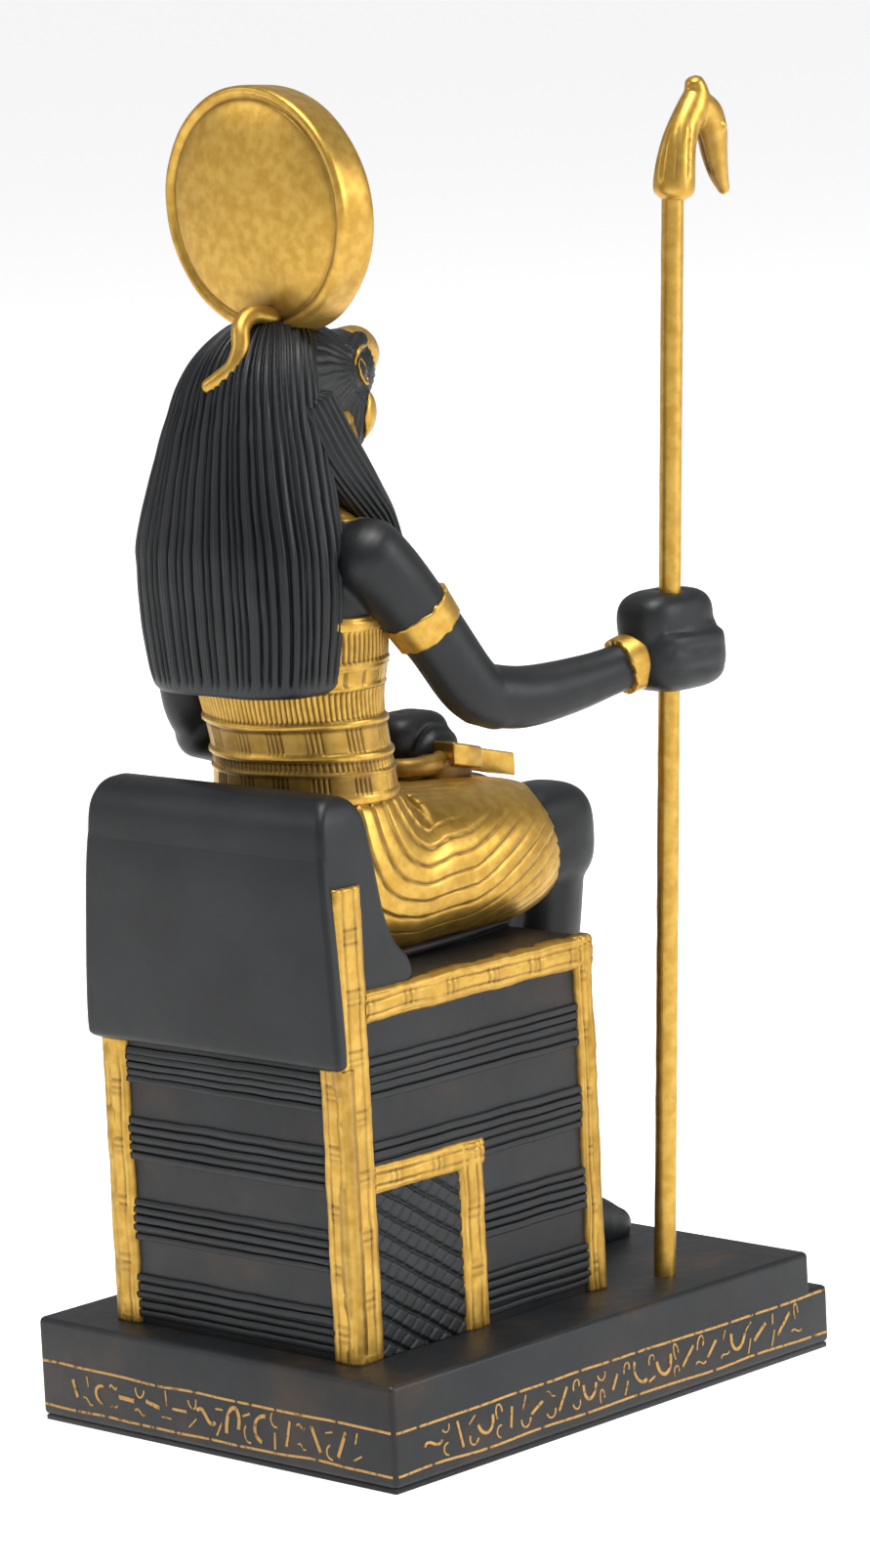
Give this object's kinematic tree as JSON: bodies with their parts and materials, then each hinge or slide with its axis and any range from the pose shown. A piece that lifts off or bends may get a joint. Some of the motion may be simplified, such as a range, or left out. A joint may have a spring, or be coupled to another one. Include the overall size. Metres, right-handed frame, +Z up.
{
  "type": "seated falcon-headed deity statuette",
  "caption": "Seated falcon-headed figure on a block throne and stepped plinth, with a sun disk on its wig, an animal-headed sceptre in one fist and a looped cross in the other; an ornament.",
  "frame": {"origin": "centre of the underside of the felt pad, on the surface that the statuette stands on", "axes": "+Z up; the figure faces -Y; its right hand, with the sceptre, is on the -X side"},
  "size_m": [0.0764, 0.1008, 0.2056],
  "materials": {
    "black_resin": "cold-cast resin painted satin charcoal black, with details in antique gold paint",
    "gold_painted_rod": "satin antique gold paint with a brown wash",
    "gold_painted_resin": "satin antique gold paint with a brown wash over cast resin",
    "black_felt": "matt felt pad"
  },
  "bodies": {
    "root": {"statue": "black_resin", "sceptre_staff": "gold_painted_rod", "sceptre_head": "gold_painted_resin", "base_felt": "black_felt"}
  },
  "joints": []
}
